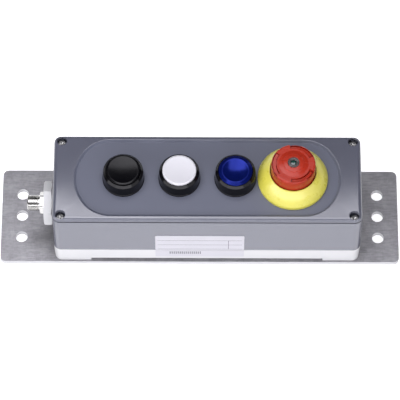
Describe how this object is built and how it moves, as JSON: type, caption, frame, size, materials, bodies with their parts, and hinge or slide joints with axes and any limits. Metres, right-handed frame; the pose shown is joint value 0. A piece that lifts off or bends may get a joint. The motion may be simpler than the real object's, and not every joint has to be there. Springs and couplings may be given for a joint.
{
  "type": "pushbutton control station",
  "caption": "Plastic control station with pushbuttons, a twist-release stop button and a circular connector, on a drilled steel mounting plate.",
  "frame": {"origin": "centre of the mounting plate's underside", "axes": "+X along the plate, away from the connector and towards the stop button; +Z out of the plate, towards the buttons"},
  "size_m": [0.29, 0.075, 0.0899],
  "materials": {
    "galvanised_steel": "mottled galvanised sheet",
    "zinc_steel": "bright zinc plate",
    "pale_plastic": "fine moulded texture",
    "lid_plastic": "fine moulded texture",
    "seal_rubber": "matt",
    "label_film": "satin film",
    "nickel_brass": "nickel plate",
    "black_plastic": "satin moulding",
    "gold_pin": "gold plate",
    "inner_plastic": "moulded",
    "spring_steel": "drawn wire",
    "block_plastic": "moulded",
    "white_plastic": "satin moulding",
    "blue_plastic": "clear moulded lens",
    "yellow_plastic": "satin moulding",
    "red_plastic": "satin moulding",
    "green_lens": "polished lens",
    "grey_plastic": "satin moulding"
  },
  "bodies": {
    "housing": {"mounting_plate": "galvanised_steel", "plate_screws": "zinc_steel", "base": "pale_plastic", "lid_gasket": "seal_rubber", "lid": "lid_plastic", "lid_screws": "zinc_steel", "upper_label": "label_film", "lower_label": "label_film", "connector_adapter": "pale_plastic", "adapter_seal": "seal_rubber", "adapter_locknut": "pale_plastic", "connector_shell": "nickel_brass", "connector_insert": "black_plastic", "connector_pins": "gold_pin", "black_bezel": "black_plastic", "black_gasket": "seal_rubber", "black_spring": "spring_steel", "black_contact_block": "block_plastic", "white_bezel": "black_plastic", "white_gasket": "seal_rubber", "white_spring": "spring_steel", "white_contact_block": "block_plastic", "blue_bezel": "black_plastic", "blue_gasket": "seal_rubber", "blue_spring": "spring_steel", "blue_contact_block": "block_plastic", "blue_lamp_block": "block_plastic", "stop_collar": "yellow_plastic", "stop_body": "inner_plastic", "stop_gasket": "seal_rubber", "stop_spring": "spring_steel", "stop_contact_blocks": "block_plastic", "ring_nuts": "inner_plastic", "contact_holders": "inner_plastic", "terminal_screws": "zinc_steel"},
    "black_button": {"black_cap": "black_plastic", "black_plunger": "inner_plastic", "black_contact_plunger": "block_plastic"},
    "white_button": {"white_cap": "white_plastic", "white_plunger": "inner_plastic", "white_contact_plunger": "block_plastic"},
    "blue_button": {"blue_lens": "blue_plastic", "blue_plunger": "inner_plastic", "blue_contact_plunger": "block_plastic"},
    "stop_plunger": {"stop_stem": "inner_plastic", "stop_contact_plungers": "block_plastic"},
    "stop_knob": {"stop_head": "red_plastic", "stop_lens": "green_lens", "stop_lens_ring": "grey_plastic"}
  },
  "joints": [
    {"name": "black_press", "type": "slide", "parent": "housing", "child": "black_button", "axis": [0, 0, -1], "range_m": [0, 0.004], "stiffness_N_per_m": 600, "springref_m": -0.002, "deforming": ["black_spring"]},
    {"name": "white_press", "type": "slide", "parent": "housing", "child": "white_button", "axis": [0, 0, -1], "range_m": [0, 0.004], "stiffness_N_per_m": 600, "springref_m": -0.002, "deforming": ["white_spring"]},
    {"name": "blue_press", "type": "slide", "parent": "housing", "child": "blue_button", "axis": [0, 0, -1], "range_m": [0, 0.004], "stiffness_N_per_m": 600, "springref_m": -0.002, "deforming": ["blue_spring"]},
    {"name": "stop_press", "type": "slide", "parent": "housing", "child": "stop_plunger", "axis": [0, 0, -1], "range_m": [0, 0.004], "stiffness_N_per_m": 1500, "springref_m": -0.002, "deforming": ["stop_spring"]},
    {"name": "stop_twist", "type": "hinge", "parent": "stop_plunger", "child": "stop_knob", "pos_m": [0.0663, -0.0016, 0.08], "axis": [0, 0, 1], "range_deg": [-45, 0], "stiffness_Nm_per_rad": 0.05, "springref_deg": 5.73}
  ]
}
